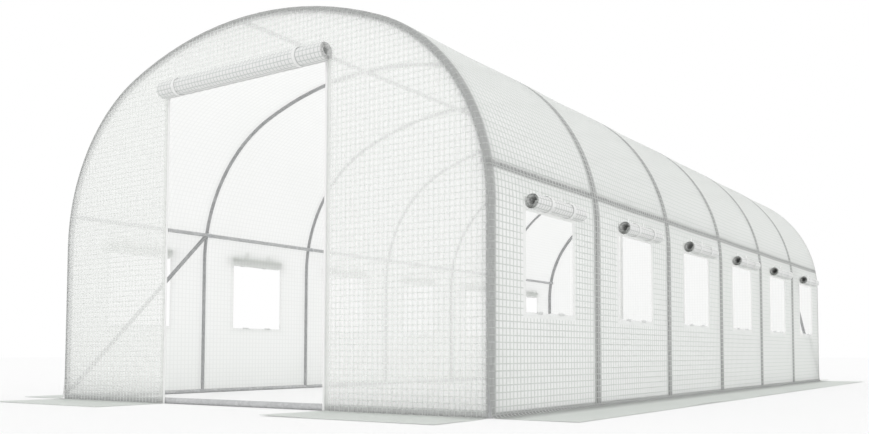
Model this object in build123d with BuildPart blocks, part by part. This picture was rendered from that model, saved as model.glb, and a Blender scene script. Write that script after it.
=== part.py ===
# Polytunnel greenhouse: seven tube hoops, a stretched sheet cover, roll-up door and windows.
# The door end faces -Y, the length runs along Y, the ground is z = 0.
import os
from math import atan2, cos, degrees, radians, sin, sqrt

from build123d import *

# Overall sizes, measured over the cover
tunnel_width = 3000.0
tunnel_length = 6000.0
tunnel_height = 2000.0
bay_count = 6

# Arch: straight legs, a haunch arc each side, a flatter crown arc tangent to both.
# The legs are a share of the height, the haunch radius and the purlins shares of the rise above them.
spring_share = 0.45
haunch_share = 10 / 11
purlin_share = 0.164

# Steel tubes, drawn with a few flats so that the many hoops stay light
tube_sides = 8
end_tube = 32.0
hoop_tube = 22.0
purlin_tube = 25.0
rail_tube = 25.0
brace_tube = 25.0
brace_foot_height = 52.0
brace_foot_step = 8.0
brace_head_step = 20.0

# Sheet cover and its flaps on the ground
cover_thickness = 2.0
flap_width = 400.0

# Windows, one in each bay of each long wall, as shares of the bay and of the straight legs
window_share = 0.4528
sill_share = 0.5

# Rolled window sheets
window_roll_radius = 36.0
window_core_radius = 20.5
window_half_turns = 5
window_roll_overhang = 15.0
window_roll_rise = 2.0
window_hem = 25.0

# Doorway as shares of the end, and the rolled door sheet over it
door_width_share = 0.3834
door_height_share = 0.83
door_roll_radius = 44.0
door_core_radius = 19.0
door_half_turns = 17
door_roll_overhang = 14.0
door_roll_offset = 19.0
door_roll_drop = 17.0
door_hem = 30.0

# Straps that tie the rolls up, spaced as a share of the roll
strap_thickness = 1.5
strap_width = 20.0
strap_corners = 7
window_strap_share = 0.44
door_strap_share = 0.747

# Clearances
fit_gap = 0.3
strap_gap = 0.3

# Derived arch values
flat_angle = 180.0
square_angle = flat_angle / 2
half_turn_corners = 6
corner_angle = flat_angle / half_turn_corners
half_width = tunnel_width / 2
half_length = tunnel_length / 2
spring_height = spring_share * tunnel_height
rise = tunnel_height - spring_height
haunch_radius = haunch_share * rise
haunch_centre = half_width - haunch_radius
crown_radius = (rise**2 + haunch_centre**2 - haunch_radius**2) / (2 * (rise - haunch_radius))
crown_centre = tunnel_height - crown_radius
join_angle = degrees(atan2(spring_height - crown_centre, haunch_centre))
crown_angle = flat_angle - 2 * join_angle

# Derived stations along the tunnel
end_inset = cover_thickness + fit_gap + end_tube / 2
hoop_inset = cover_thickness + fit_gap + hoop_tube / 2
purlin_inset = cover_thickness + fit_gap + hoop_tube + fit_gap + purlin_tube / 2
rail_inset = cover_thickness + fit_gap + rail_tube / 2
front_station = -half_length + end_inset
rear_station = half_length - end_inset
bay_length = (rear_station - front_station) / bay_count

# Derived openings
window_stations = [front_station + bay_length * bay + bay_length / 2 for bay in range(bay_count)]
window_width = window_share * bay_length
window_sill = sill_share * spring_height
window_height = spring_height - window_sill
window_roll_length = window_width + 2 * window_roll_overhang
door_width = door_width_share * tunnel_width
door_height = door_height_share * tunnel_height
door_roll_length = door_width + 2 * door_roll_overhang

os.makedirs("parts", exist_ok=True)


def save(builder, name):
    # Labels one piece and writes it under its own name.
    builder.part.label = name
    export_step(builder.part, f"parts/{name}.step")


def wall_face(height):
    # Half width of the cover's outer face at a height above the spring line.
    return haunch_centre + sqrt(haunch_radius**2 - (height - spring_height) ** 2)


def arch_arcs(inset):
    # Haunch, crown and haunch, left to right, set in from the cover's outer face.
    CenterArc((-haunch_centre, spring_height), haunch_radius - inset, flat_angle, -join_angle)
    CenterArc((0, crown_centre), crown_radius - inset, flat_angle - join_angle, -crown_angle)
    CenterArc((haunch_centre, spring_height), haunch_radius - inset, join_angle, -join_angle)


def arch_line(inset, foot):
    # One whole hoop line from foot to foot.
    side = half_width - inset
    Line((-side, foot), (-side, spring_height))
    arch_arcs(inset)
    Line((side, spring_height), (side, foot))


def bent_hoop(station, tube, inset, foot):
    # One tube bent to the arch: left leg, haunch and half crown, then the same on the right.
    side = half_width - inset
    top = tunnel_height - inset
    haunch_bend = Axis((-haunch_centre, station, spring_height), (0, 1, 0))
    crown_bend = Axis((0, station, crown_centre), (0, -1, 0))
    with BuildPart() as hoop:
        with BuildSketch(Plane((-side, station, foot), x_dir=(1, 0, 0), z_dir=(0, 0, 1))):
            RegularPolygon(tube / 2, tube_sides)
        extrude(amount=spring_height - foot)
        with BuildSketch(Plane((-side, station, spring_height), x_dir=(1, 0, 0), z_dir=(0, 0, 1))):
            RegularPolygon(tube / 2, tube_sides)
        revolve(axis=haunch_bend, revolution_arc=join_angle)
        with BuildSketch(Plane((0, station, top), x_dir=(0, 0, 1), z_dir=(1, 0, 0))):
            RegularPolygon(tube / 2, tube_sides)
        revolve(axis=crown_bend, revolution_arc=crown_angle / 2)
        mirror(about=Plane.YZ)
    return hoop


def straight_bar(start, end, tube):
    # One straight tube between two points.
    axis = Vector(*end) - Vector(*start)
    with BuildPart() as bar:
        with BuildSketch(Plane(start, z_dir=axis)):
            RegularPolygon(tube / 2, tube_sides)
        extrude(amount=axis.length)
    return bar


def coped_bar(start, end, tube, neighbours):
    # One straight tube whose ends are shaped to the tubes they meet.
    bar = straight_bar(start, end, tube)
    with BuildPart() as coped:
        add(bar.part)
        for neighbour in neighbours:
            add(neighbour.part, mode=Mode.SUBTRACT)
    return coped


def turned(builder):
    # The same piece half a turn round the tunnel's upright centre line.
    with BuildPart() as copy:
        add(builder.part, rotation=(0, 0, flat_angle))
    return copy


def mirrored(builder, plane):
    # The same piece on the other side of a plane.
    with BuildPart() as copy:
        mirror(builder.part, about=plane)
    return copy


def scroll_points(core, step, half_turns):
    # Corners of a line that winds outward in half turns on two centres.
    points = []
    for turn in range(half_turns):
        lower = turn % 2 == 0
        centre = 0 if lower else step
        start = 0 if lower else flat_angle
        radius = core + step * turn
        for corner in range(half_turn_corners):
            angle = radians(start - corner_angle * corner)
            points.append((centre + radius * cos(angle), radius * sin(angle)))
    points.append((-core - step * (half_turns - 1), 0))
    return points


def scroll_section(core, outer, half_turns, hem):
    # Cross-section of a wound sheet that leaves the roll at its back and runs up as a hem.
    step = (outer - core - cover_thickness) / (half_turns - 1)
    with BuildSketch() as section:
        with BuildLine():
            inside = Polyline(*scroll_points(core, step, half_turns))
            outside = Polyline(*scroll_points(core + cover_thickness, step, half_turns))
            Line(inside @ 0, outside @ 0)
            back_in = Line(inside @ 1, inside @ 1 + (0, hem))
            back_out = Line(outside @ 1, outside @ 1 + (0, hem))
            Line(back_in @ 1, back_out @ 1)
        make_face()
    return section


def strap_points(radius, reach):
    # Corners of a line from the fixed back end over a roll and round under it.
    points = [(-reach, radius)]
    for corner in range(strap_corners + 1):
        angle = radians(square_angle - corner_angle * corner)
        points.append((radius * cos(angle), radius * sin(angle)))
    return points


def strap_section(radius, reach):
    # Cross-section of a strap round a roll, standing just off it.
    with BuildSketch() as section:
        with BuildLine():
            inside = Polyline(*strap_points(radius + strap_gap, reach))
            outside = Polyline(*strap_points(radius + strap_gap + strap_thickness, reach))
            Line(inside @ 0, outside @ 0)
            Line(inside @ 1, outside @ 1)
        make_face()
    return section


# Hoops. The cutting hoops are the end hoops and rails with their clearance round them.
front_hoop = bent_hoop(front_station, end_tube, end_inset, 0)
rear_hoop = bent_hoop(rear_station, end_tube, end_inset, 0)
front_hoop_cut = bent_hoop(front_station, end_tube + 2 * fit_gap, end_inset, 0)
rear_hoop_cut = bent_hoop(rear_station, end_tube + 2 * fit_gap, end_inset, 0)
save(front_hoop, "front_hoop")
save(rear_hoop, "rear_hoop")

# Base rails on the ground: between the end hoops along the walls, and across each end.
rail_side = half_width - rail_inset
rail_height = rail_tube / 2
right_rail_ends = [(rail_side, front_station, rail_height), (rail_side, rear_station, rail_height)]
right_base_rail = coped_bar(*right_rail_ends, rail_tube, [front_hoop_cut, rear_hoop_cut])
left_base_rail = mirrored(right_base_rail, Plane.YZ)
end_side = half_width - end_inset
sill_ends = [(-end_side, front_station, end_tube / 2), (end_side, front_station, end_tube / 2)]
right_rail_cut = straight_bar(*right_rail_ends, rail_tube + 2 * fit_gap)
left_rail_cut = mirrored(right_rail_cut, Plane.YZ)
front_base_rail = coped_bar(*sill_ends, end_tube, [front_hoop_cut, right_rail_cut, left_rail_cut])
rear_base_rail = turned(front_base_rail)
save(right_base_rail, "right_base_rail")
save(left_base_rail, "left_base_rail")
save(front_base_rail, "front_base_rail")
save(rear_base_rail, "rear_base_rail")

# Inner hoops stand on the side rails with saddle-shaped feet.
for bay in range(1, bay_count):
    whole_hoop = bent_hoop(front_station + bay_length * bay, hoop_tube, hoop_inset, rail_height)
    with BuildPart() as inner_hoop:
        add(whole_hoop.part)
        add(left_rail_cut.part, mode=Mode.SUBTRACT)
        add(right_rail_cut.part, mode=Mode.SUBTRACT)
    save(inner_hoop, f"hoop_{bay + 1}")

# Purlins run under the inner hoops and butt on the end hoops.
purlin_rise = purlin_share * rise
purlin_height = spring_height + purlin_rise
purlin_side = haunch_centre + sqrt((haunch_radius - purlin_inset) ** 2 - purlin_rise**2)
ridge_height = tunnel_height - purlin_inset
right_purlin_ends = [(purlin_side, front_station, purlin_height), (purlin_side, rear_station, purlin_height)]
ridge_purlin_ends = [(0, front_station, ridge_height), (0, rear_station, ridge_height)]
right_purlin = coped_bar(*right_purlin_ends, purlin_tube, [front_hoop_cut, rear_hoop_cut])
ridge_purlin = coped_bar(*ridge_purlin_ends, purlin_tube, [front_hoop_cut, rear_hoop_cut])
left_purlin = mirrored(right_purlin, Plane.YZ)
left_purlin_cut = mirrored(straight_bar(*right_purlin_ends, purlin_tube + 2 * fit_gap), Plane.YZ)
save(right_purlin, "right_purlin")
save(ridge_purlin, "ridge_purlin")
save(left_purlin, "left_purlin")

# Diagonal braces: front bay of the left wall and rear bay of the right wall.
brace_foot = (-(half_width - purlin_inset), front_station + brace_foot_step, brace_foot_height)
brace_head = (-purlin_side, front_station + bay_length - brace_head_step, purlin_height)
left_front_brace = coped_bar(brace_foot, brace_head, brace_tube, [front_hoop_cut, left_purlin_cut])
right_rear_brace = turned(left_front_brace)
save(left_front_brace, "left_front_brace")
save(right_rear_brace, "right_rear_brace")

# Roof cover in three bent strips from wall to wall.
front_plane = Plane.XZ.offset(half_length)
roof_strips = {
    "roof_left": ((-haunch_centre, spring_height), haunch_radius, flat_angle - join_angle, join_angle),
    "roof_crown": ((0, crown_centre), crown_radius, join_angle, crown_angle),
    "roof_right": ((haunch_centre, spring_height), haunch_radius, 0, join_angle),
}
for strip_name, (centre, radius, start, sweep_angle) in roof_strips.items():
    with BuildPart() as roof_strip:
        with BuildSketch(front_plane):
            with BuildLine():
                outside = CenterArc(centre, radius, start, sweep_angle)
                inside = CenterArc(centre, radius - cover_thickness, start, sweep_angle)
                Line(outside @ 0, inside @ 0)
                Line(outside @ 1, inside @ 1)
            make_face()
        extrude(amount=-tunnel_length)
    save(roof_strip, strip_name)

# Wall below the windows, and the strips between them up to the window heads.
wall_middle = half_width - cover_thickness / 2
with BuildPart() as right_wall_lower:
    with Locations((wall_middle, 0, window_sill / 2)):
        Box(cover_thickness, tunnel_length, window_sill)
save(right_wall_lower, "right_wall_lower")
save(mirrored(right_wall_lower, Plane.YZ), "left_wall_lower")

window_middle = window_sill + window_height / 2
with BuildPart() as right_wall_between_windows:
    with Locations((wall_middle, 0, window_middle)):
        Box(cover_thickness, tunnel_length, window_height)
    with Locations([(wall_middle, station, window_middle) for station in window_stations]):
        Box(cover_thickness, window_width, window_height, mode=Mode.SUBTRACT)
save(right_wall_between_windows, "right_wall_between_windows")
save(mirrored(right_wall_between_windows, Plane.YZ), "left_wall_between_windows")

# End panels: two sides and the piece over the door. The rear door hangs closed.
side_strip = (half_width - door_width / 2) / 2
side_centre = half_width - side_strip
head_height = tunnel_height - door_height
panel_cuts = {
    "panel_left": (-side_centre, tunnel_height / 2, 2 * side_strip, tunnel_height),
    "panel_right": (side_centre, tunnel_height / 2, 2 * side_strip, tunnel_height),
    "panel_over_door": (0, door_height + head_height / 2, door_width - 2 * fit_gap, head_height),
}
for panel_name, (middle_x, middle_z, width, height) in panel_cuts.items():
    with BuildPart() as panel:
        with BuildSketch(front_plane):
            with BuildLine():
                arch_line(cover_thickness + fit_gap, 0)
                panel_side = half_width - cover_thickness - fit_gap
                Line((-panel_side, 0), (panel_side, 0))
            make_face()
            with Locations((middle_x, middle_z)):
                Rectangle(width, height, mode=Mode.INTERSECT)
        extrude(amount=-cover_thickness)
    save(panel, f"front_{panel_name}")
    save(mirrored(panel, Plane.XZ), f"rear_{panel_name}")

with BuildPart() as rear_door:
    with Locations((0, half_length - cover_thickness / 2, (door_height - fit_gap) / 2)):
        Box(door_width - 2 * fit_gap, cover_thickness, door_height - fit_gap)
save(rear_door, "rear_door")

# Flaps of the cover lying out on the ground, open at the doorways and at the corners.
with BuildPart() as right_flap:
    with Locations((half_width + flap_width / 2, 0, cover_thickness / 2)):
        Box(flap_width, tunnel_length, cover_thickness)
save(right_flap, "right_flap")
save(mirrored(right_flap, Plane.YZ), "left_flap")

with BuildPart() as front_flap_right:
    with Locations((side_centre, -half_length - flap_width / 2, cover_thickness / 2)):
        Box(2 * side_strip, flap_width, cover_thickness)
save(front_flap_right, "front_flap_right")
save(mirrored(front_flap_right, Plane.YZ), "front_flap_left")
save(mirrored(front_flap_right, Plane.XZ), "rear_flap_right")
save(turned(front_flap_right), "rear_flap_left")

# Window rolls hang outside just over the openings, wound from the whole window sheet.
roll_height = spring_height + window_roll_rise + window_roll_radius
roll_axis = wall_face(roll_height) + fit_gap + window_roll_radius
window_scroll = scroll_section(window_core_radius, window_roll_radius, window_half_turns, window_hem)
with BuildPart() as right_window_rolls:
    for station in window_stations:
        roll_start = (roll_axis, station - window_roll_length / 2, roll_height)
        with BuildSketch(Plane(roll_start, x_dir=(1, 0, 0), z_dir=(0, -1, 0))):
            add(window_scroll.sketch)
        extrude(amount=-window_roll_length)
save(right_window_rolls, "right_window_rolls")
save(mirrored(right_window_rolls, Plane.YZ), "left_window_rolls")

window_strap_top = roll_height + window_roll_radius + strap_gap
window_strap_reach = roll_axis - wall_face(window_strap_top) - fit_gap
window_strap = strap_section(window_roll_radius, window_strap_reach)
strap_shares = (-1 / 2, 1 / 2)
with BuildPart() as right_window_straps:
    for station in window_stations:
        for share in strap_shares:
            strap_edge = station + share * window_strap_share * window_roll_length - strap_width / 2
            strap_start = (roll_axis, strap_edge, roll_height)
            with BuildSketch(Plane(strap_start, x_dir=(1, 0, 0), z_dir=(0, -1, 0))):
                add(window_strap.sketch)
            extrude(amount=-strap_width)
save(right_window_straps, "right_window_straps")
save(mirrored(right_window_straps, Plane.YZ), "left_window_straps")

# The door sheet is rolled up in the same way, a little to one side and just below the doorway's head.
door_roll_height = door_height - door_roll_drop + door_roll_radius
door_roll_axis = -half_length - fit_gap - door_roll_radius
door_roll_start = (door_roll_offset - door_roll_length / 2, door_roll_axis, door_roll_height)
door_scroll = scroll_section(door_core_radius, door_roll_radius, door_half_turns, door_hem)
with BuildPart() as door_roll:
    with BuildSketch(Plane(door_roll_start, x_dir=(0, -1, 0), z_dir=(-1, 0, 0))):
        add(door_scroll.sketch)
    extrude(amount=-door_roll_length)
save(door_roll, "door_roll")

door_strap = strap_section(door_roll_radius, door_roll_radius)
with BuildPart() as door_roll_straps:
    for share in strap_shares:
        strap_edge = share * door_strap_share * door_roll_length - strap_width / 2
        strap_start = (strap_edge, door_roll_axis, door_roll_height)
        with BuildSketch(Plane(strap_start, x_dir=(0, -1, 0), z_dir=(-1, 0, 0))):
            add(door_strap.sketch)
        extrude(amount=-strap_width)
save(door_roll_straps, "door_roll_straps")
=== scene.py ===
import math

import bmesh
import bpy
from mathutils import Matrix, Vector, noise


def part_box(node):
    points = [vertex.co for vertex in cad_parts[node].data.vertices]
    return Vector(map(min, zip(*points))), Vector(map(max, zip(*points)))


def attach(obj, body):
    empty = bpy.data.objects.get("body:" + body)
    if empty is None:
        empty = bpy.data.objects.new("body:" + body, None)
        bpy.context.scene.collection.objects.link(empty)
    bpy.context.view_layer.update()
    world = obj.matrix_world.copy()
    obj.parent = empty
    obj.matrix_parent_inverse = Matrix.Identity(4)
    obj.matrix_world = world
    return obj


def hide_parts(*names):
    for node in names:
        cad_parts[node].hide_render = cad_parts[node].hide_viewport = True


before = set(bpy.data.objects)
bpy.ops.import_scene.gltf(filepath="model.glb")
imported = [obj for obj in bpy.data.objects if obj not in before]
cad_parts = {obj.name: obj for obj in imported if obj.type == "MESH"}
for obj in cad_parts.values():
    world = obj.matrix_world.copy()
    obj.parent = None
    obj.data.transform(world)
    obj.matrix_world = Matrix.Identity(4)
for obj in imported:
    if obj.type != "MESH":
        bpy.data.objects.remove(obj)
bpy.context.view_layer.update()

# the cover's outer line in metres, the same three-centred arch as the solids
arch = {
    "halfWidth": 1.5,
    "halfLength": 3.0,
    "spring": 0.9,  # height where the wall starts to bend in
    "top": 2.0,
    "haunchRadius": 1.0,
    "haunchSteps": 22,
    "crownSteps": 18,
}
haunchX = arch["halfWidth"] - arch["haunchRadius"]
rise = arch["top"] - arch["spring"]
crownRadius = (rise**2 + haunchX**2 - arch["haunchRadius"] ** 2) / (2 * (rise - arch["haunchRadius"]))
crownZ = arch["top"] - crownRadius
joinAngle = math.atan2(arch["spring"] - crownZ, haunchX)
crownAngle = math.pi - 2 * joinAngle

hoopBoxes = [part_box(name) for name in ("front_hoop", "rear_hoop")]
frontStation, rearStation = [(low.y + high.y) / 2 for low, high in hoopBoxes]
bayCount = 6
bayLength = (rearStation - frontStation) / bayCount
bayMiddles = [frontStation + bayLength * (bay + 0.5) for bay in range(bayCount)]

cloth = {
    "thick": 0.0012,
    "set": 0.001,  # middle of the sheet, in from the outer line
    "map": "cloth",
    "tubeShade": "tubeShade",  # how strongly a tube behind it shows, 0 to 1, as painted shade and clearer film
    "smooth": 50,  # degrees
}
upright = (math.pi / 2, 0, 0)
facing = 0.9  # a face looks along an axis from this share of its normal on
slack = 1e-4
tiny = 1e-6


def clearSelection():
    if bpy.context.object is not None and bpy.context.object.mode != "OBJECT":
        bpy.ops.object.mode_set(mode="OBJECT")
    bpy.ops.object.select_all(action="DESELECT")


def nameNew(name):
    piece = bpy.context.object
    piece.name = name
    piece.data.name = name
    return piece


def choose(piece):
    clearSelection()
    piece.select_set(True)
    bpy.context.view_layer.objects.active = piece


def edit(piece):
    choose(piece)
    bpy.ops.object.mode_set(mode="EDIT")


def closeEdit():
    bpy.ops.object.mode_set(mode="OBJECT")


def settle(piece):
    choose(piece)  # place, turn and scale go into the mesh
    bpy.ops.object.transform_apply(location=True, rotation=True, scale=True)


def newPlane(name, place, wide, tall, turn=upright):
    # a flat start for a sheet or a band, left in edit mode
    clearSelection()
    bpy.ops.mesh.primitive_plane_add(size=1, location=place, rotation=turn)
    sheet = nameNew(name)
    sheet.scale = (wide, tall, 1)
    settle(sheet)
    edit(sheet)
    return sheet


def pick(piece, kind, test):
    bpy.ops.mesh.select_mode(type=kind)
    bpy.ops.mesh.select_all(action="DESELECT")
    shell = bmesh.from_edit_mesh(piece.data)
    for part in {"VERT": shell.verts, "EDGE": shell.edges, "FACE": shell.faces}[kind]:
        if test(part):
            part.select_set(True)
    shell.select_flush_mode()
    bmesh.update_edit_mesh(piece.data)


def middle(part):
    return sum((corner.co for corner in part.verts), Vector()) / len(part.verts)


def near(one, other):
    return abs(one - other) < slack


def ease(value, low, high):
    share = min(max((value - low) / (high - low), 0.0), 1.0)
    return share * share * (3.0 - 2.0 * share)


def waveAt(place, scale, start=(0, 0, 0)):
    return noise.noise(Vector([part * wide + first for part, wide, first in zip(place, scale, start)]))


def extrudeBy(x, y, z):
    bpy.ops.mesh.extrude_region_move(TRANSFORM_OT_translate={"value": (x, y, z)})


def spinArch():
    # over the left haunch, the crown and the right haunch
    for centreX, centreZ, angle, steps in (
        (-haunchX, arch["spring"], joinAngle, arch["haunchSteps"]),
        (0.0, crownZ, crownAngle, arch["crownSteps"]),
        (haunchX, arch["spring"], joinAngle, arch["haunchSteps"]),
    ):
        bpy.ops.mesh.spin(steps=steps, angle=angle, center=(centreX, 0, centreZ), axis=(0, -1, 0))


def cutPlanes(piece, axis, places, test=lambda face: True):
    # straight cuts; only the new edges stay selected after each
    direction = [0, 0, 0]
    direction["XYZ".index(axis)] = 1
    for place in places:
        pick(piece, "FACE", test)
        bpy.ops.mesh.bisect(plane_co=[place * part for part in direction], plane_no=direction)


def faceOut():
    bpy.ops.mesh.select_all(action="SELECT")
    bpy.ops.mesh.normals_make_consistent(inside=False)


def cleanMesh():
    bpy.ops.mesh.select_mode(type="VERT")
    bpy.ops.mesh.select_all(action="SELECT")
    bpy.ops.mesh.remove_doubles(threshold=1e-5)
    faceOut()


def smooth(piece, degrees=35):
    choose(piece)
    bpy.ops.object.shade_smooth_by_angle(angle=math.radians(degrees))


def thicken(piece, thick, inner=0):
    # inner counts the finishes to step over for the side that faces in
    choose(piece)
    wall = piece.modifiers.new("thickness", "SOLIDIFY")
    wall.thickness = thick
    wall.offset = 0.0
    wall.use_even_offset = True
    wall.material_offset = inner
    bpy.ops.object.modifier_apply(modifier=wall.name)


def layFlat(piece, flatPlace):
    # flat coordinates in metres, so that the threads keep their spacing
    layer = piece.data.uv_layers.new(name=cloth["map"])
    for corner in piece.data.loops:
        layer.data[corner.index].uv = flatPlace(piece.data.vertices[corner.vertex_index].co)


def fade(value, full, none):
    return 1 - min(max((value - full) / (none - full), 0.0), 1.0)


def setTubeShade(piece, closeness):
    layer = piece.data.attributes.new(cloth["tubeShade"], "FLOAT", "POINT")
    for corner in piece.data.vertices:
        layer.data[corner.index].value = closeness(corner.co)


def copyOf(piece, name, shift=(0, 0, 0), turn=0.0):
    choose(piece)
    bpy.ops.object.duplicate(linked=False)
    copy = nameNew(name)
    copy.rotation_euler = (0, 0, math.radians(turn))
    copy.location = shift
    settle(copy)
    return copy


def joinPieces(pieces, name):
    clearSelection()
    for piece in pieces:
        piece.select_set(True)
    bpy.context.view_layer.objects.active = pieces[0]
    bpy.ops.object.join()
    return nameNew(name)


def dress(piece, *finishes):
    for finish in finishes:
        piece.data.materials.append(finish)


def handOver(piece, slot, *nodes):
    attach(piece, "root")
    if nodes:
        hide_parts(*nodes)


# finishes

def newFinish(name):
    finish = bpy.data.materials.new(name)
    finish.use_nodes = True
    finish.node_tree.nodes.clear()
    return finish, finish.node_tree


def addNode(tree, kind, **settings):
    node = tree.nodes.new("ShaderNode" + kind)
    for key, value in settings.items():
        setattr(node, key, value)
    return node


def feed(tree, value, socket):
    if isinstance(value, bpy.types.NodeSocket):
        tree.links.new(value, socket)
    else:
        socket.default_value = value


def mixColours(tree, share, one, other):
    node = addNode(tree, "Mix", data_type="RGBA")
    for place, value in ((0, share), (6, one), (7, other)):
        feed(tree, value, node.inputs[place])
    return node.outputs[2]


def combine(tree, operation, *values):
    node = addNode(tree, "Math", operation=operation)
    for place, value in enumerate(values):
        feed(tree, value, node.inputs[place])
    return node.outputs["Value"]


def blendShaders(tree, share, one, other):
    node = addNode(tree, "MixShader")
    for place, value in enumerate((share, one, other)):
        feed(tree, value, node.inputs[place])
    return node.outputs["Shader"]


def spread(tree, value, low, high, fromLow=0.0, fromHigh=1.0):
    node = addNode(tree, "MapRange")
    tree.links.new(value, node.inputs["Value"])
    limits = (("From Min", fromLow), ("From Max", fromHigh), ("To Min", low), ("To Max", high))
    for key, number in limits:
        node.inputs[key].default_value = number
    return node.outputs["Result"]


def noiseOn(tree, vector, scale, detail):
    node = addNode(tree, "TexNoise")
    tree.links.new(vector, node.inputs["Vector"])
    node.inputs["Scale"].default_value = scale
    node.inputs["Detail"].default_value = detail
    return node.outputs["Fac"]


def bumpOn(tree, height, strength, depth):
    node = addNode(tree, "Bump")
    node.inputs["Strength"].default_value = strength
    node.inputs["Distance"].default_value = depth
    tree.links.new(height, node.inputs["Height"])
    return node.outputs["Normal"]


def toSurface(tree, shader):
    output = addNode(tree, "OutputMaterial")
    tree.links.new(shader, output.inputs["Surface"])


filmLook = {
    "threadEdge": (0.6, 1.3),  # full to here and gone from there, in half widths
    "cloud": (2.2, 4.0),  # noise scale and detail
    "cloudRange": (0.35, 0.65),
    "crinkle": (38.0, 3.0),
    "threadRelief": 0.6,
    "bump": (0.3, 0.0012),  # strength and depth
    "rough": (0.42, 0.58),
    "specular": 0.3,
    "sheen": 0.08,
    "paintedTubeShade": (0.40, 0.41, 0.40, 1),  # painted shade of a tube behind the film, used as the film's colour there
    # painted shade of a tube behind the film, on the threads
    "paintedTubeShadeThread": (0.53, 0.54, 0.53, 1),
    "shadeBandThrough": 0.3,  # and how much light it lets through there
}
fabricLooks = {
    "coverFabric": {
        "pitch": 0.03,  # thread spacing
        "threads": (0.0042, 0.0027),  # half widths, upright and level
        "film": (0.99, 0.993, 0.988, 1),
        "filmShade": (0.98, 0.985, 0.978, 1),
        "thread": (0.66, 0.69, 0.665, 1),
        "lightThrough": 0.84,
        "clear": (0.24, 0.05),  # film and thread
        "tight": (0.36, 0.1),  # the same over a tube
    },
    "endFabric": {
        "pitch": 0.028,
        "threads": (0.0034, 0.0026),
        "film": (0.99, 0.992, 0.987, 1),
        "filmShade": (0.98, 0.985, 0.977, 1),
        "thread": (0.87, 0.885, 0.865, 1),
        "lightThrough": 0.78,
        "clear": (0.54, 0.05),
        "tight": (0.36, 0.1),
    },
    "hemFabric": {
        "pitch": 0.028,
        "threads": (0.0005, 0.0005),
        "film": (0.92, 0.925, 0.917, 1),
        "filmShade": (0.90, 0.907, 0.898, 1),
        "thread": (0.88, 0.89, 0.88, 1),
        "lightThrough": 0.7,
        "clear": (0.2, 0.2),
        "tight": (0.2, 0.2),
    },
    "flapFabric": {
        "pitch": 0.03,
        "threads": (0.003, 0.0027),
        "film": (0.85, 0.885, 0.85, 1),
        "filmShade": (0.825, 0.86, 0.825, 1),
        "thread": (0.77, 0.80, 0.77, 1),
        "lightThrough": 0.2,
        "clear": (0.03, 0.0),
        "tight": (0.03, 0.0),
    },
    "rollFabric": {
        "pitch": 0.024,
        "threads": (0.0026, 0.0026),
        "film": (0.95, 0.95, 0.945, 1),
        "filmShade": (0.93, 0.933, 0.925, 1),
        "thread": (0.65, 0.68, 0.66, 1),
        "lightThrough": 0.15,
        "clear": (0.02, 0.0),
        "tight": (0.02, 0.0),
    },
}
# the inner side has fainter threads, and its painted tube shade and clearer film count on the back, seen
# from outside
faintThreads = {"thread": (0.93, 0.935, 0.928, 1), "tight": (0.4, 0.4), "inner": True}
for kind in ("cover", "end"):
    outer = fabricLooks[kind + "Fabric"]
    filmClear = outer["clear"][0]
    fabricLooks[kind + "Inside"] = {**outer, **faintThreads, "clear": (filmClear, filmClear)}
fabricLooks["windowRollFabric"] = {**fabricLooks["rollFabric"], "thread": (0.66, 0.68, 0.66, 1)}


def fabricFinish(name):
    look = fabricLooks[name]
    finish, tree = newFinish(name)
    flat = addNode(tree, "UVMap", uv_map=cloth["map"])
    place = addNode(tree, "TexCoord")
    side = addNode(tree, "NewGeometry")
    axes = addNode(tree, "SeparateXYZ")
    tree.links.new(flat.outputs["UV"], axes.inputs["Vector"])
    full, gone = filmLook["threadEdge"]
    runs = []
    for axis, wide in zip("XY", look["threads"]):
        gap = combine(tree, "PINGPONG", axes.outputs[axis], look["pitch"] / 2)  # to the nearest thread
        runs.append(spread(tree, gap, 1.0, 0.0, full * wide, gone * wide))
    back = side.outputs["Backfacing"]
    front = combine(tree, "SUBTRACT", 1.0, back)
    threads = combine(tree, "MULTIPLY", combine(tree, "MAXIMUM", *runs), front)  # on the front side only
    tubeShade = addNode(tree, "Attribute", attribute_name=cloth["tubeShade"])
    outside = back if look.get("inner") else front
    hold = combine(tree, "MULTIPLY", tubeShade.outputs["Fac"], outside)  # a tube shows from outside only, as painted shade and clearer film
    cloudy = noiseOn(tree, place.outputs["Object"], *filmLook["cloud"])
    crinkle = noiseOn(tree, place.outputs["Object"], *filmLook["crinkle"])
    patches = spread(tree, cloudy, 0.0, 1.0, *filmLook["cloudRange"])
    film = mixColours(tree, patches, look["film"], look["filmShade"])
    # painted shade of the tube behind the sheet, on the film and on its threads
    film = mixColours(tree, hold, film, filmLook["paintedTubeShade"])
    weave = mixColours(tree, hold, look["thread"], filmLook["paintedTubeShadeThread"])
    colour = mixColours(tree, threads, film, weave)
    relief = combine(tree, "MULTIPLY_ADD", threads, filmLook["threadRelief"], crinkle)
    normal = bumpOn(tree, relief, *filmLook["bump"])
    face = addNode(tree, "BsdfPrincipled")
    face.inputs["Specular IOR Level"].default_value = filmLook["specular"]
    face.inputs["Sheen Weight"].default_value = filmLook["sheen"]
    tree.links.new(spread(tree, cloudy, *filmLook["rough"]), face.inputs["Roughness"])
    glow = addNode(tree, "BsdfTranslucent")
    for shader, socket in ((face, "Base Color"), (glow, "Color")):
        tree.links.new(colour, shader.inputs[socket])
        tree.links.new(normal, shader.inputs["Normal"])
    through = spread(tree, hold, look["lightThrough"], filmLook["shadeBandThrough"])
    body = blendShaders(tree, through, face.outputs["BSDF"], glow.outputs["BSDF"])
    clear = addNode(tree, "BsdfTransparent")
    share = addNode(tree, "Mix", data_type="FLOAT")
    tree.links.new(hold, share.inputs[0])
    tree.links.new(spread(tree, threads, *look["clear"]), share.inputs[2])
    tree.links.new(spread(tree, threads, *look["tight"]), share.inputs[3])
    toSurface(tree, blendShaders(tree, share.outputs[0], body, clear.outputs["BSDF"]))
    return finish


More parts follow.
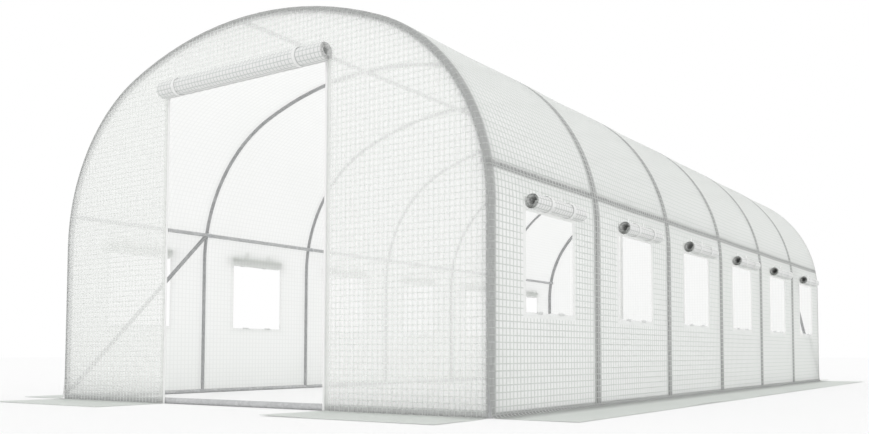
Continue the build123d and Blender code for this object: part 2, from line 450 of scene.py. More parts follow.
zincLook = {
    "cloud": (6.0, 5.0),
    "blotches": (0.1, 0.6),
    "bump": (0.12, 0.0006),
    "rough": (0.38, 0.56),
}
metalLooks = {
    "tubeSteel": {
        "light": (0.45, 0.455, 0.46, 1), "dark": (0.36, 0.365, 0.37, 1), "metal": 0.15, "spangle": 55.0,
    },
    "railSteel": {
        "light": (0.59, 0.595, 0.60, 1), "dark": (0.48, 0.485, 0.49, 1), "metal": 0.15, "spangle": 55.0,
    },
    "clipSteel": {
        "light": (0.62, 0.63, 0.64, 1), "dark": (0.50, 0.51, 0.52, 1), "metal": 0.5, "spangle": 90.0,
    },
}


def metalFinish(name):
    look = metalLooks[name]
    finish, tree = newFinish(name)
    place = addNode(tree, "TexCoord")
    spangle = addNode(tree, "TexVoronoi")
    spangle.inputs["Scale"].default_value = look["spangle"]
    tree.links.new(place.outputs["Object"], spangle.inputs["Vector"])
    flake = addNode(tree, "SeparateColor")
    tree.links.new(spangle.outputs["Color"], flake.inputs["Color"])
    cloudy = noiseOn(tree, place.outputs["Object"], *zincLook["cloud"])
    blotch = combine(tree, "MULTIPLY", flake.outputs["Red"], cloudy)
    patches = spread(tree, blotch, 0.0, 1.0, *zincLook["blotches"])
    face = addNode(tree, "BsdfPrincipled")
    face.inputs["Metallic"].default_value = look["metal"]
    tree.links.new(mixColours(tree, patches, look["dark"], look["light"]), face.inputs["Base Color"])
    tree.links.new(spread(tree, blotch, *zincLook["rough"]), face.inputs["Roughness"])
    tree.links.new(bumpOn(tree, cloudy, *zincLook["bump"]), face.inputs["Normal"])
    toSurface(tree, face.outputs["BSDF"])
    return finish


ribLook = {
    "waver": 0.6,
    "cloud": (30.0, 3.0),
    "worn": 0.5,  # most that the clouds take off the ribs
    "bump": (0.4, 0.0008),
    "sheen": 0.15,
}
webLooks = {
    "strapWeb": {
        "light": (0.93, 0.935, 0.925, 1), "dark": (0.84, 0.85, 0.84, 1), "rib": 420.0, "rough": 0.85,
    },
    "tabWeb": {
        "light": (0.80, 0.81, 0.80, 1), "dark": (0.68, 0.69, 0.68, 1), "rib": 420.0, "rough": 0.85,
    },
    "zipTape": {
        "light": (0.97, 0.97, 0.965, 1), "dark": (0.92, 0.925, 0.92, 1), "rib": 300.0, "rough": 0.5,
    },
}


def webFinish(name):
    look = webLooks[name]
    finish, tree = newFinish(name)
    place = addNode(tree, "TexCoord")
    rib = addNode(tree, "TexWave", wave_type="BANDS", bands_direction="Z")
    rib.inputs["Scale"].default_value = look["rib"]
    rib.inputs["Distortion"].default_value = ribLook["waver"]
    tree.links.new(place.outputs["Object"], rib.inputs["Vector"])
    cloudy = noiseOn(tree, place.outputs["Object"], *ribLook["cloud"])
    ribShade = mixColours(tree, rib.outputs["Fac"], look["dark"], look["light"])
    colour = mixColours(tree, spread(tree, cloudy, 0.0, ribLook["worn"]), ribShade, look["light"])
    face = addNode(tree, "BsdfPrincipled")
    face.inputs["Roughness"].default_value = look["rough"]
    face.inputs["Sheen Weight"].default_value = ribLook["sheen"]
    tree.links.new(colour, face.inputs["Base Color"])
    tree.links.new(bumpOn(tree, rib.outputs["Fac"], *ribLook["bump"]), face.inputs["Normal"])
    toSurface(tree, face.outputs["BSDF"])
    return finish


fabrics = {name: fabricFinish(name) for name in fabricLooks}
tubeSteel, railSteel, clipSteel = [metalFinish(name) for name in metalLooks]
strapWeb, tabWeb, zipTape = [webFinish(name) for name in webLooks]
print("finishes ready")


def wear(piece, *names):
    dress(piece, *[fabrics[name] for name in names])


# cover over the hoops, from the left flap to the right flap in one sheet

cover = {
    "flapWidth": 0.4,
    "flapCuts": (0.12, 0.24),  # out from the foot
    "flapLift": 0.005,  # how far the loose edge rises off the ground
    "flapFree": (0.25, 1.0),  # it comes free between these shares of its width
    "flapWave": {"scale": (1.1, 1.7, 0), "start": (0, 0, 3.0)},
    "footRadius": 0.022,
    "footSteps": 4,
    "wrapRadius": 0.018,  # round the end hoops
    "wrapCuts": 5,
    "wrapHeights": (0.03, 0.12),  # the foot stays straight
    "lengthCuts": 0.1,
    "wallCuts": (0.15, 0.3, 0.6, 0.75),  # heights
    "wallDepth": 0.02,  # faces this near the wall's plane are wall
    "haunchFrom": 1.3,  # the purlins and rails lie outside this
    "roofSag": 0.004,
    "wallSag": 0.0015,
    "sagHeights": (0.05, 0.3),
    "crinkle": 0.0012,
    "crinkleWave": {"scale": (2.6, 3.1, 2.6)},
    "crinkleHeights": (0.05, 0.4),
    "hoopShade": (0.021, 0.045),  # painted hoop shade, full this far from a hoop, and none from there
    "endShade": (0.028, 0.04),  # painted end hoop shade, from the end of the sheet
    "endShare": 0.72,  # of the full painted shade
    # painted purlin shade, full this far from the purlin line, and none from there
    "purlinShade": (0.009, 0.022),
    "purlinLine": 1.068,  # height where a wall purlin shows, as a painted shade band
    # painted base rail shade, up from the ground
    "railShade": (0.014, 0.026),
    "finishes": ("coverFabric", "hemFabric", "flapFabric"),
    "inside": ("coverInside", "coverInside", "flapFabric"),
}
window = {
    "width": 0.45,
    "sill": 0.45,
    "hem": 0.026,
}
wallX = arch["halfWidth"] - cloth["set"]
endPlane = arch["halfLength"] - cloth["set"]
flapIn = wallX + cover["footRadius"]  # where the flap starts
flapEdge = arch["halfWidth"] + cover["flapWidth"]


def archNormal(x, z):
    side = -1 if x < 0 else 1
    if z <= arch["spring"]:
        return Vector((side, 0, 0))
    lean = math.atan2(z - arch["spring"], abs(x) - haunchX)
    if lean <= joinAngle:
        return Vector((side * math.cos(lean), 0, math.sin(lean)))
    return Vector((x, 0, z - crownZ)).normalized()


def coverFlat(co):
    # length round the sheet from the middle of the crown, and place along the tunnel
    side = -1 if co.x < 0 else 1
    across = abs(co.x)
    haunchLength = arch["haunchRadius"] * joinAngle
    crownHalf = crownRadius * crownAngle / 2
    if co.z > arch["spring"]:
        lean = math.atan2(co.z - arch["spring"], across - haunchX)
        if lean > joinAngle:
            around = crownRadius * math.atan2(across, co.z - crownZ)
        else:
            around = crownHalf + arch["haunchRadius"] * (joinAngle - lean)
    else:
        around = crownHalf + haunchLength + arch["spring"] - co.z
        if across > flapIn - tiny:
            around = crownHalf + haunchLength + arch["spring"] + across - wallX
    return co.y, side * around


def archInset(x, z):
    # distance in from the cover's outer line
    side = abs(x)
    if z <= arch["spring"]:
        return arch["halfWidth"] - side
    if math.atan2(z - arch["spring"], side - haunchX) <= joinAngle:
        return arch["haunchRadius"] - math.hypot(side - haunchX, z - arch["spring"])
    return crownRadius - math.hypot(x, z - crownZ)


def coverTubeShade(place):
    # painted shade and clearer film where a hoop, a purlin or a base rail shows through the cover
    if abs(place.x) > flapIn:
        return 0.0
    along = abs((place.y - frontStation + bayLength / 2) % bayLength - bayLength / 2)
    if abs(place.y) > rearStation - bayLength / 2:
        along = bayLength
    return max(
        fade(along, *cover["hoopShade"]),
        cover["endShare"] * fade(arch["halfLength"] - abs(place.y), *cover["endShade"]),
        fade(abs(place.z - cover["purlinLine"]), *cover["purlinShade"]),
        fade(place.z, *cover["railShade"]),
    )


def nearWindow(place, margin):
    tall = window["sill"] - margin < place.z < arch["spring"] + margin
    wide = any(abs(place.y - station) < window["width"] / 2 + margin for station in bayMiddles)
    return tall and wide and abs(place.x) > wallX - cover["wallDepth"]


def liftFlap(corner, wave, free):
    roll = 0.5 + waveAt(corner.co, **wave)
    corner.co.z += cover["flapLift"] * max(roll, 0.0) * free


def modelCover():
    low = cloth["set"]
    bendZ = low + cover["footRadius"]

    def bendFoot(centreX):
        bpy.ops.mesh.spin(
            steps=cover["footSteps"], angle=math.pi / 2, center=(centreX, 0, bendZ), axis=(0, 1, 0)
        )

    flapMiddle = (-(flapEdge + flapIn) / 2, 0, low)
    sheet = newPlane("cover_sheet", flapMiddle, flapEdge - flapIn, 2 * endPlane, turn=(0, 0, 0))
    pick(sheet, "EDGE", lambda edge: all(near(end.co.x, -flapIn) for end in edge.verts))
    bendFoot(-flapIn)
    extrudeBy(0, 0, window["sill"] - bendZ)
    extrudeBy(0, 0, arch["spring"] - window["sill"])
    spinArch()
    extrudeBy(0, 0, window["sill"] - arch["spring"])
    extrudeBy(0, 0, bendZ - window["sill"])
    bendFoot(flapIn)
    extrudeBy(flapEdge - flapIn, 0, 0)
    cleanMesh()
    # cuts for the hoop lines, the window edges and their hems
    count = round(2 * endPlane / cover["lengthCuts"])
    places = [-endPlane + 2 * endPlane * cut / count for cut in range(1, count)]
    for station in bayMiddles:
        for reach in (window["width"] / 2, window["width"] / 2 + window["hem"]):
            places += [station - reach, station + reach]
    for cut in range(cover["wrapCuts"]):
        edge = endPlane - cover["wrapRadius"] * (1 - cut / cover["wrapCuts"])
        places += [-edge, edge]
    for reach in cover["endShade"]:
        places += [reach - arch["halfLength"], arch["halfLength"] - reach]
    for number in range(1, bayCount):
        station = frontStation + bayLength * number
        for reach in cover["hoopShade"]:
            places += [station - reach, station + reach]
    cutPlanes(sheet, "Y", sorted(places))
    heights = (window["sill"] - window["hem"], *cover["wallCuts"], arch["spring"] + window["hem"])
    cutPlanes(sheet, "Z", heights, lambda face: abs(middle(face).x) > wallX - cover["wallDepth"])
    heights = [cover["purlinLine"] + sign * reach for reach in cover["purlinShade"] for sign in (-1, 1)]
    heights += cover["railShade"]
    cutPlanes(sheet, "Z", heights, lambda face: abs(middle(face).x) > cover["haunchFrom"])
    for out in cover["flapCuts"]:
        places = (-flapIn - out, flapIn + out)
        cutPlanes(sheet, "X", places, lambda face: abs(middle(face).x) > flapIn)
    # windows cut out
    pick(sheet, "FACE", lambda face: nearWindow(middle(face), 0))
    bpy.ops.mesh.delete(type="FACE")
    closeEdit()
    layFlat(sheet, coverFlat)
    setTubeShade(sheet, coverTubeShade)
    for face in sheet.data.polygons:
        kind = "coverFabric"
        if abs(face.center.x) > flapIn:
            kind = "flapFabric"
        elif nearWindow(face.center, window["hem"]):
            kind = "hemFabric"
        face.material_index = cover["finishes"].index(kind)
    return sheet


def shapeCover(sheet):
    wrap = cover["wrapRadius"]
    for corner in sheet.data.vertices:
        x, y, z = corner.co
        if abs(x) > flapIn - tiny:
            out = (abs(x) - wallX) / cover["flapWidth"]
            liftFlap(corner, cover["flapWave"], ease(out, *cover["flapFree"]))
            continue
        normal = archNormal(x, z)
        bay = math.sin(math.pi * (y - frontStation) / bayLength) ** 2
        sag = cover["roofSag"] if z > arch["spring"] else cover["wallSag"] * ease(z, *cover["sagHeights"])
        crease = cover["crinkle"] * waveAt(corner.co, **cover["crinkleWave"])
        corner.co += normal * bay * (-sag + crease * ease(z, *cover["crinkleHeights"]))
        past = (abs(y) - (endPlane - wrap)) / wrap
        if past > 0:
            hold = ease(z, *cover["wrapHeights"])
            turn = past * math.pi / 2
            corner.co -= normal * wrap * (1 - math.cos(turn)) * hold
            reach = endPlane - wrap + wrap * (math.sin(turn) * hold + past * (1 - hold))
            corner.co.y = math.copysign(reach, y)
    sheet.data.update()


coverSheet = modelCover()
shapeCover(coverSheet)
wear(coverSheet, *cover["finishes"], *cover["inside"])
thicken(coverSheet, cloth["thick"], len(cover["finishes"]))
smooth(coverSheet, cloth["smooth"])
handOver(
    coverSheet, "cover", "roof_left", "roof_crown", "roof_right", "left_wall_lower", "right_wall_lower",
    "left_wall_between_windows", "right_wall_between_windows", "left_flap", "right_flap",
)
coverLength = 2 * (arch["spring"] + arch["haunchRadius"] * joinAngle + cover["flapWidth"])
coverLength += crownRadius * crownAngle
print("cover stretched over the hoops", len(coverSheet.data.polygons), "faces")

# end panels with their flaps, the front doorway open and the rear one closed

door = {
    "halfWidth": 0.5751,
    "height": 1.66,
    "cutSpacing": 0.15,
    "columns": 9,  # cuts to each side of the middle
    "rows": 12,
    "flapCuts": 3,
    "flapFrom": 0.01,  # further out than this is flap
    "flapFree": (0.1, 0.4),
    "flapWave": {"scale": (2.1, 1.9, 0), "start": (0, 0, 7.0)},
    "bulge": 0.003,
    "bulgeFree": (0.03, 0.25),  # in from an edge
    "bulgeHeights": (0.03, 0.3),
    "bulgeWave": {"scale": (2.3, 0, 2.3), "start": (0, 5.0, 0)},
    "leafGrid": (8, 12),
    "leafFree": (0.0, 0.2),
    "leafWave": {"scale": (2.4, 0, 1.6), "start": (0, 9.0, 0)},
    "hemWidth": 0.03,
    "hemThick": 0.0009,
    "zipWidth": 0.014,
    "zipProud": 0.0022,
    "zipRim": 0.004,
    "hoopShade": (0.005, 0.013),  # painted end hoop shade, from the panel's edge
    # painted base rail shade, up from the ground
    "railShade": (0.026, 0.036),
    "railShare": 0.3,
    "finishes": ("endFabric", "flapFabric"),
    "inside": ("endInside", "flapFabric"),
}


def onEndFlap(place):
    return place.y < -endPlane - door["flapFrom"]


def modelEndPanel(name):
    inset = cover["wrapRadius"] + cloth["set"]
    side = arch["halfWidth"] - inset
    low = cloth["set"]
    spring = arch["spring"]
    panel = newPlane(name, (0, -endPlane, (low + spring) / 2), 2 * side, spring - low)
    pick(panel, "VERT", lambda corner: near(corner.co.x, -side) and near(corner.co.z, spring))
    spinArch()
    bpy.ops.mesh.select_all(action="SELECT")
    bpy.ops.mesh.remove_doubles(threshold=slack)
    pick(panel, "EDGE", lambda edge: middle(edge).z > spring - slack)
    bpy.ops.mesh.edge_face_add()
    bpy.ops.mesh.select_mode(type="FACE")
    bpy.ops.mesh.select_all(action="SELECT")
    tightWidth, looseFrom = door["hoopShade"]
    bpy.ops.mesh.inset(thickness=tightWidth, use_boundary=True)
    bpy.ops.mesh.inset(thickness=looseFrom - tightWidth)
    step = door["cutSpacing"]
    across = [step * cut for cut in range(-door["columns"], door["columns"] + 1)]
    cutPlanes(panel, "X", sorted(across + [-door["halfWidth"], door["halfWidth"]]))
    cutPlanes(panel, "Z", [step * cut for cut in range(1, door["rows"] + 1)] + [door["height"]])
    pick(
        panel, "EDGE",
        lambda edge: near(middle(edge).z, low) and abs(middle(edge).x) > door["halfWidth"],
    )
    for run in range(door["flapCuts"]):
        extrudeBy(0, -cover["flapWidth"] / door["flapCuts"], 0)
    pick(panel, "VERT", lambda corner: near(abs(corner.co.x), side) and onEndFlap(corner.co))
    shell = bmesh.from_edit_mesh(panel.data)
    for corner in shell.verts:
        if corner.select:
            corner.co.x = math.copysign(arch["halfWidth"], corner.co.x)
    bmesh.update_edit_mesh(panel.data)
    faceOut()
    closeEdit()
    if max(panel.data.polygons, key=lambda face: abs(face.normal.y)).normal.y > 0:
        edit(panel)  # the threads belong on the outside
        bpy.ops.mesh.select_all(action="SELECT")
        bpy.ops.mesh.flip_normals()
        closeEdit()
    layFlat(panel, lambda co: (co.x, co.z + min(co.y + endPlane, 0)))

    # painted shade and clearer film where the end hoop or the base rail shows through the panel
    def panelTubeShade(place):
        if onEndFlap(place):
            return 0.0
        return max(
            cover["endShare"] * fade(archInset(place.x, place.z) - inset, *door["hoopShade"]),
            door["railShare"] * fade(place.z, *door["railShade"]),
        )

    setTubeShade(panel, panelTubeShade)
    for face in panel.data.polygons:
        face.material_index = int(onEndFlap(face.center))
    for corner in panel.data.vertices:
        x, y, z = corner.co
        if onEndFlap(corner.co):
            liftFlap(corner, door["flapWave"], ease(-endPlane - y, *door["flapFree"]))
            continue
        edgeGap = min(abs(abs(x) - door["halfWidth"]), arch["halfWidth"] - abs(x), arch["top"] - z)
        free = ease(edgeGap, *door["bulgeFree"]) * ease(z, *door["bulgeHeights"])
        corner.co.y -= door["bulge"] * free * waveAt(corner.co, **door["bulgeWave"])
    panel.data.update()
    return panel


def inDoor(place):
    return abs(place.x) < door["halfWidth"] and place.z < door["height"]


def cutDoorway(panel):
    edit(panel)
    pick(panel, "FACE", lambda face: inDoor(middle(face)))
    bpy.ops.mesh.delete(type="FACE")
    closeEdit()


frontPanel = modelEndPanel("front_end_sheet")
cutDoorway(frontPanel)
rearPanel = copyOf(frontPanel, "rear_end_sheet", turn=180)


def modelRearDoor():
    low = cloth["set"]
    tall = door["height"] - low
    columns, rows = door["leafGrid"]
    clearSelection()
    bpy.ops.mesh.primitive_grid_add(
        x_subdivisions=columns, y_subdivisions=rows, size=1,
        location=(0, endPlane, low + tall / 2), rotation=(math.pi / 2, 0, math.pi),
    )
    leaf = nameNew("rear_door_sheet")
    leaf.scale = (2 * door["halfWidth"], tall, 1)
    settle(leaf)
    layFlat(leaf, lambda co: (co.x, co.z))
    for corner in leaf.data.vertices:
        edgeGap = min(door["halfWidth"] - abs(corner.co.x), door["height"] - corner.co.z)
        wave = waveAt(corner.co, **door["leafWave"])
        corner.co.y += 2 * door["bulge"] * wave * ease(edgeGap, *door["leafFree"])
    leaf.data.update()
    return leaf


def modelZip(name):
    # hem and zip tape round three sides of the doorway, standing on the panel
    wide = door["halfWidth"] + door["hemWidth"]
    tall = door["height"] + door["hemWidth"]
    low = cloth["set"]
    footBand = 1.5 * door["hemWidth"]  # the strip across the foot lies below this
    place = (0, -endPlane - cloth["thick"] / 2, (tall + low) / 2)
    band = newPlane(name, place, 2 * wide, tall - low)
    bpy.ops.mesh.select_all(action="SELECT")
    bpy.ops.mesh.inset(thickness=door["hemWidth"] - door["zipWidth"] / 2)
    bpy.ops.mesh.inset(thickness=door["zipWidth"])
    bpy.ops.mesh.delete(type="FACE")
    pick(band, "FACE", lambda face: middle(face).z < footBand)
    bpy.ops.mesh.delete(type="FACE")
    pick(band, "VERT", lambda corner: corner.co.z < footBand)
    shell = bmesh.from_edit_mesh(band.data)
    for corner in shell.verts:
        if corner.select:
            corner.co.z = low
    bmesh.update_edit_mesh(band.data)
    closeEdit()
    layFlat(band, lambda co: (co.x, co.z))
    zipReach = door["zipWidth"] / 2 + slack
    for face in band.data.polygons:
        narrow = abs(face.center.x) < door["halfWidth"] + zipReach
        face.material_index = int(narrow and face.center.z < door["height"] + zipReach)
    edit(band)
    bpy.ops.mesh.select_all(action="SELECT")
    extrudeBy(0, -door["hemThick"], 0)
    pick(band, "FACE", lambda face: face.material_index == 1 and face.normal.y < -facing)  # the tape
    extrudeBy(0, -door["zipProud"] / 2, 0)
    bpy.ops.mesh.inset(thickness=door["zipRim"])
    extrudeBy(0, -door["zipProud"] / 2, 0)
    faceOut()
    closeEdit()
    return band


rearDoor = modelRearDoor()
frontZip = modelZip("front_door_zip")
rearZip = copyOf(frontZip, "rear_door_zip", turn=180)
for sheet in (frontPanel, rearPanel, rearDoor):
    wear(sheet, *door["finishes"], *door["inside"])
    thicken(sheet, cloth["thick"], len(door["finishes"]))
    smooth(sheet, cloth["smooth"])
for band in (frontZip, rearZip):
    dress(band, fabrics["hemFabric"], zipTape)
    handOver(band, "cover")
handOver(
    frontPanel, "cover", "front_panel_left", "front_panel_right", "front_panel_over_door",
    "front_flap_left", "front_flap_right",
)
handOver(
    rearPanel, "cover", "rear_panel_left", "rear_panel_right", "rear_panel_over_door",
    "rear_flap_left", "rear_flap_right",
)
handOver(rearDoor, "cover", "rear_door")
print("end panels and doors ready")

# wound sheets of the door and the windows

doorRoll = {
    "radius": 0.044, "core": 0.019, "halfTurns": 17, "hem": 0.03,
    "steps": 8, "cuts": 24, "loose": 0.05, "stagger": 0.005, "seed": 1.0,
    "fabric": "rollFabric",
}
windowRoll = {
    "radius": 0.036, "core": 0.0205, "halfTurns": 5, "hem": 0.025,
    "steps": 10, "cuts": 12, "loose": 0.05, "stagger": 0.004, "seed": 4.0,
    "fabric": "windowRollFabric",
}
winding = {
    "wave": (5.0, 12.0, 12.0),  # noise along the roll and across it
    "lean": 0.25,  # a loose turn shrinks more than it swells
    "ripple": 900.0,  # how fast the ends step in and out from turn to turn
    "endOnly": 6,  # power that keeps this at the ends
}
doorRollLow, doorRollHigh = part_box("door_roll")
windowRollLow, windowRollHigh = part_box("right_window_rolls")
doorRoll["length"] = doorRollHigh.x - doorRollLow.x
windowRoll["length"] = windowRollHigh.y - windowRollLow.y - bayLength * (bayCount - 1)
doorRollMiddle = (doorRollLow.x + doorRollHigh.x) / 2


def rollGeometry(roll):
    outer = roll["radius"] - cloth["set"]
    inner = roll["core"] + cloth["set"]
    step = (outer - inner) / (roll["halfTurns"] - 1)
    wound = sum(math.pi * (outer - step * turn) for turn in range(roll["halfTurns"]))
    return outer, step, wound


def windRoll(name, roll):
    # axis along X through the origin, the hem up the back at +Y
    outer, step, wound = rollGeometry(roll)
    sheet = newPlane(name, (0, outer, roll["hem"] / 2), roll["length"], roll["hem"])
    pick(sheet, "EDGE", lambda edge: all(near(end.co.z, 0) for end in edge.verts))
    for turn in range(roll["halfTurns"]):
        centre = -step if turn % 2 else 0.0
        bpy.ops.mesh.spin(steps=roll["steps"], angle=math.pi, center=(0, centre, 0), axis=(1, 0, 0))
    count = roll["cuts"]
    cutPlanes(sheet, "X", [roll["length"] * (cut / count - 0.5) for cut in range(1, count)])
    closeEdit()
    # wound length of each row, counted along the sheet
    rows = {}
    for turn in range(roll["halfTurns"]):
        centre = -step if turn % 2 else 0.0
        reach = outer - step * turn
        before = math.pi * (outer * turn - step * turn * (turn - 1) / 2)
        for part in range(roll["steps"] + 1):
            angle = math.pi * (turn + part / roll["steps"])
            key = (round(centre + reach * math.cos(angle), 4), round(-reach * math.sin(angle), 4))
            rows[key] = before + math.pi * reach * part / roll["steps"]

    def flatPlace(co):
        if co.z > tiny and near(co.y, outer):
            return co.x, -co.z
        key = (round(co.y, 4), round(co.z, 4))
        return co.x, rows.get(key, wound)

    layFlat(sheet, flatPlace)
    half = roll["length"] / 2
    for corner in sheet.data.vertices:
        x, y, z = corner.co
        if near(y, outer) and z > -tiny:
            continue
        front = (1 - y / math.hypot(y, z)) / 2  # nothing moves at the wall side
        swell = waveAt(corner.co, winding["wave"], (roll["seed"], 0, 0))
        scale = 1 + roll["loose"] * front * (swell - winding["lean"])
        out = math.sin(math.hypot(y, z) * winding["ripple"]) * roll["stagger"]
        out *= (abs(x) / half) ** winding["endOnly"]
        corner.co = (x + math.copysign(out, x) if abs(x) > tiny else x, y * scale, z * scale)
    sheet.data.update()
    wear(sheet, roll["fabric"])
    thicken(sheet, cloth["thick"])
    smooth(sheet, cloth["smooth"])
    return sheet


doorAxis = (doorRollMiddle, doorRollLow.y + doorRoll["radius"], doorRollLow.z + doorRoll["radius"])
windowAxis = (windowRollHigh.x - windowRoll["radius"], windowRollLow.z + windowRoll["radius"])
doorSheet = windRoll("door_roll_sheet", doorRoll)
doorSheet.location = doorAxis
settle(doorSheet)
handOver(doorSheet, "cover", "door_roll")
firstRoll = windRoll("window_roll", windowRoll)
for bay, station in enumerate(bayMiddles):
    for side, sign in (("right", 1), ("left", -1)):
        place = (sign * windowAxis[0], station, windowAxis[1])
        rolled = copyOf(firstRoll, f"{side}_window_roll_{bay + 1}", shift=place, turn=90 * sign)
        handOver(rolled, "cover", f"{side}_window_rolls")
bpy.data.objects.remove(firstRoll)
print("door and window sheets rolled up")

# straps round the rolls and tabs under the windows

strap = {
    "thick": 0.0014, "width": 0.02, "gap": 0.0009, "wallGap": 0.0002, "reach": 240, "steps": 20,
    "bend": 0.006, "bendSteps": 3, "sewn": 0.03, "windowAt": 0.105, "doorAt": 0.44,
    "tabWide": 0.055, "tabTall": 0.012, "tabDrop": 0.001, "tabThick": 0.0012, "tabRim": 0.002,
}


def loopStrap(name, roll):
    # from a sewn end on the wall, over the roll and round under it; axis along X
    radius = roll["radius"] + strap["gap"] + strap["thick"] / 2
    back = roll["radius"] + strap["wallGap"] - strap["thick"]
    band = newPlane(name, (0, back, radius + strap["sewn"] / 2), strap["width"], strap["sewn"])
    pick(band, "EDGE", lambda edge: all(near(end.co.z, radius) for end in edge.verts))
    extrudeBy(0, -back, 0)
    bpy.ops.mesh.spin(
        steps=strap["steps"], angle=math.radians(strap["reach"]), center=(0, 0, 0), axis=(-1, 0, 0)
    )
    cleanMesh()

    def atWall(edge):
        place = middle(edge)
        return len(edge.link_faces) == 2 and near(place.z, radius) and place.y > back / 2

    pick(band, "EDGE", atWall)
    bpy.ops.mesh.bevel(offset=strap["bend"], segments=strap["bendSteps"], affect="EDGES")
    closeEdit()
    thicken(band, strap["thick"])
    smooth(band, cloth["smooth"])
    return band


def sewnTab():
    tab = newPlane("tab", (0, 0, 0), strap["tabWide"], strap["tabTall"])
    bpy.ops.mesh.select_all(action="SELECT")
    extrudeBy(0, -strap["tabThick"], 0)
    bpy.ops.mesh.inset(thickness=strap["tabRim"])
    extrudeBy(0, -strap["tabThick"], 0)
    faceOut()
    closeEdit()
    return tab


firstStrap = loopStrap("strap", windowRoll)
firstTab = sewnTab()
dress(firstStrap, strapWeb)
dress(firstTab, tabWeb)
for side, sign in (("right", 1), ("left", -1)):
    bands = []
    for station in bayMiddles:
        for along in (-strap["windowAt"], strap["windowAt"]):
            place = (sign * windowAxis[0], station + along, windowAxis[1])
            bands.append(copyOf(firstStrap, "strap_copy", shift=place, turn=90 * sign))
            sill = (sign * arch["halfWidth"], station + along, window["sill"] - strap["tabDrop"])
            bands.append(copyOf(firstTab, "tab_copy", shift=sill, turn=90 * sign))
    webbing = joinPieces(bands, f"{side}_window_webbing")
    handOver(webbing, "strap", f"{side}_window_straps")
bpy.data.objects.remove(firstStrap)
bpy.data.objects.remove(firstTab)
firstStrap = loopStrap("door_strap", doorRoll)
bands = [
    copyOf(firstStrap, "door_strap_copy", shift=(at, *doorAxis[1:]))
    for at in (-strap["doorAt"], strap["doorAt"])
]
bpy.data.objects.remove(firstStrap)
doorWebbing = joinPieces(bands, "door_webbing")
dress(doorWebbing, strapWeb)
handOver(doorWebbing, "strap", "door_roll_straps")
print("straps and tabs ready")

# bent and straight tubes

tube = {
    "sides": 24,
    "endRadius": 0.016,
    "hoopRadius": 0.011,
    "barRadius": 0.0125,
    "clearance": 0.0023,  # tube to the cover's outer line
    "innerFoot": 0.016,  # height where the inner hoops start
    "seat": 0.003,  # how far a bar runs on into what it meets
    "endBevel": 0.0012,
    "braceFoot": (-1.4629, -2.9737, 0.052),
    "braceHead": (-1.4459, -2.0078, 1.0804),
}


def bendHoop(name, station, radius, foot):
    side = arch["halfWidth"] - tube["clearance"] - radius
    clearSelection()
    bpy.ops.mesh.primitive_circle_add(
        vertices=tube["sides"], radius=radius, fill_type="NGON", location=(-side, station, foot)
    )
    hoop = nameNew(name)
    settle(hoop)
    edit(hoop)
    bpy.ops.mesh.select_all(action="SELECT")
    extrudeBy(0, 0, arch["spring"] - foot)
    spinArch()
    extrudeBy(0, 0, foot - arch["spring"])
    cleanMesh()
    closeEdit()
    smooth(hoop)
    return hoop


def cutBar(name, start, end, radius):
    # straight tube with slightly rounded ends
    line = Vector(end) - Vector(start)
    centre = (Vector(start) + Vector(end)) / 2
    clearSelection()
    bpy.ops.mesh.primitive_cylinder_add(
        vertices=tube["sides"], radius=radius, depth=line.length,
        location=centre, rotation=line.to_track_quat("Z", "Y").to_euler(),
    )
    bar = nameNew(name)
    settle(bar)
    edit(bar)
    axis = line.normalized()
    pick(bar, "FACE", lambda face: abs(face.normal.dot(axis)) > facing)
    bpy.ops.mesh.bevel(offset=tube["endBevel"], segments=2, affect="EDGES")
    closeEdit()
    smooth(bar)
    return bar


def barLike(node, along, radius):
    # straight tube on the axis of a node of the frame
    low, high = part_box(node)
    start = (low + high) / 2
    end = start.copy()
    run = "XYZ".index(along)
    start[run] = low[run] - tube["seat"]
    end[run] = high[run] + tube["seat"]
    return cutBar(f"{node}_tube", start, end, radius)


frontTube = bendHoop("front_hoop_tube", frontStation, tube["endRadius"], 0.0)
rearTube = copyOf(frontTube, "rear_hoop_tube", shift=(0, rearStation - frontStation, 0))
frameTubes = [(frontTube, "front_hoop"), (rearTube, "rear_hoop")]
firstHoop = bendHoop("hoop_2_tube", frontStation + bayLength, tube["hoopRadius"], tube["innerFoot"])
frameTubes.append((firstHoop, "hoop_2"))
for number in range(3, bayCount + 1):
    hoop = copyOf(firstHoop, f"hoop_{number}_tube", shift=(0, bayLength * (number - 2), 0))
    frameTubes.append((hoop, f"hoop_{number}"))
for node in ("left_purlin", "ridge_purlin", "right_purlin", "left_base_rail", "right_base_rail"):
    frameTubes.append((barLike(node, "Y", tube["barRadius"]), node))
for node in ("front_base_rail", "rear_base_rail"):
    frameTubes.append((barLike(node, "X", tube["endRadius"]), node))
braceTube = cutBar("left_front_brace_tube", tube["braceFoot"], tube["braceHead"], tube["barRadius"])
otherBrace = copyOf(braceTube, "right_rear_brace_tube", turn=180)
frameTubes += [(braceTube, "left_front_brace"), (otherBrace, "right_rear_brace")]
for piece, node in frameTubes:
    dress(piece, railSteel if node.endswith(("purlin", "rail")) else tubeSteel)
    handOver(piece, "frame_tube", node)
print("frame tubes bent and cut")

# clips and bolts where the purlins cross the hoops

clip = {
    "length": 0.05, "radius": 0.0145, "rim": 0.0008, "rimBevel": 0.0006,
    "bolt": 0.007, "boltDeep": 0.006, "boltSunk": 0.001, "boltRim": 0.0012, "boltDome": 0.0008,
}


